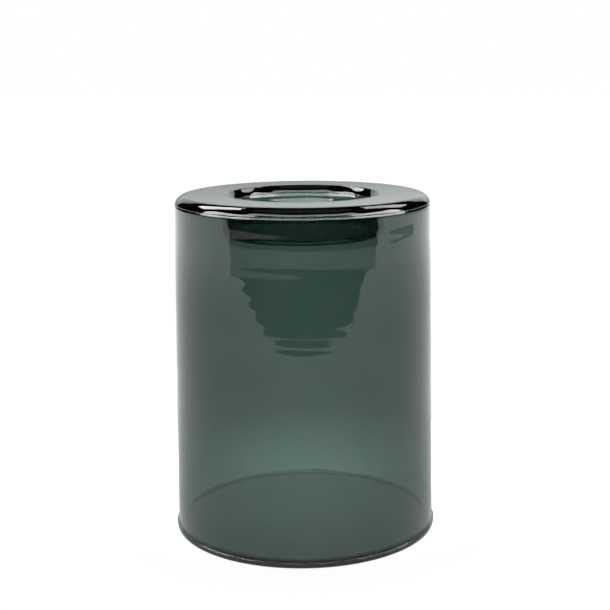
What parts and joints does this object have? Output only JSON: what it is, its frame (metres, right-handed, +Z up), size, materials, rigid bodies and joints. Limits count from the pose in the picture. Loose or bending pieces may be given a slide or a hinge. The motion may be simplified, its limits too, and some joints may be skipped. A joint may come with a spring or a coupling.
{
  "type": "vase",
  "caption": "Straight-sided blown glass vase whose flat top turns down at the mouth into a short open neck hanging inside, in smoky grey-green glass",
  "frame": {"origin": "middle of the resting face under the base", "axes": "+Z up along the axis of the vase; X and Y alike, since the vase is round"},
  "size_m": [0.1248, 0.1248, 0.16],
  "materials": {
    "smoke_glass": "polished, through-coloured smoke with a green cast",
    "neck_glass": "polished, paler than the wall"
  },
  "bodies": {
    "root": {"base_disc": "smoke_glass", "cylinder_wall": "smoke_glass", "top_ring": "smoke_glass", "neck_collar": "neck_glass"}
  },
  "joints": []
}
